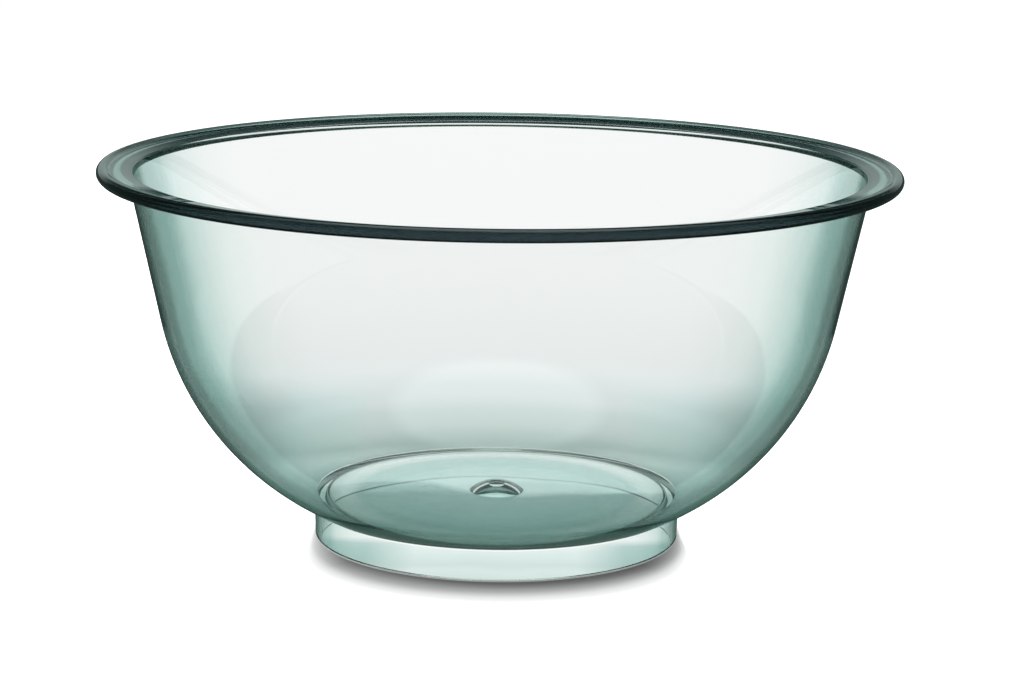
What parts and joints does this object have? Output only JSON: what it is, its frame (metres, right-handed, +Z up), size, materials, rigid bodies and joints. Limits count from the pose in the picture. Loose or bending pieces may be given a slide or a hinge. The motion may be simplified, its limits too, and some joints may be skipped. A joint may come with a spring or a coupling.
{
  "type": "mixing bowl",
  "caption": "Clear moulded mixing bowl with a round lip on a gently sloping rim flange, a straight upper wall, a rounded base and a low ring foot.",
  "frame": {"origin": "centre of the foot ring's underside, on the table", "axes": "+Z up along the bowl's axis; X and Y are free, as the bowl is round"},
  "size_m": [0.29, 0.29, 0.1375],
  "materials": {
    "clear_plastic": "transparent, grey-green tint, polished"
  },
  "bodies": {
    "root": {"rim_lip": "clear_plastic", "rim_flange": "clear_plastic", "side_wall": "clear_plastic", "belly": "clear_plastic", "heel": "clear_plastic", "floor_plate": "clear_plastic", "foot_ring": "clear_plastic", "gate_dome": "clear_plastic", "gate_stub": "clear_plastic"}
  },
  "joints": []
}
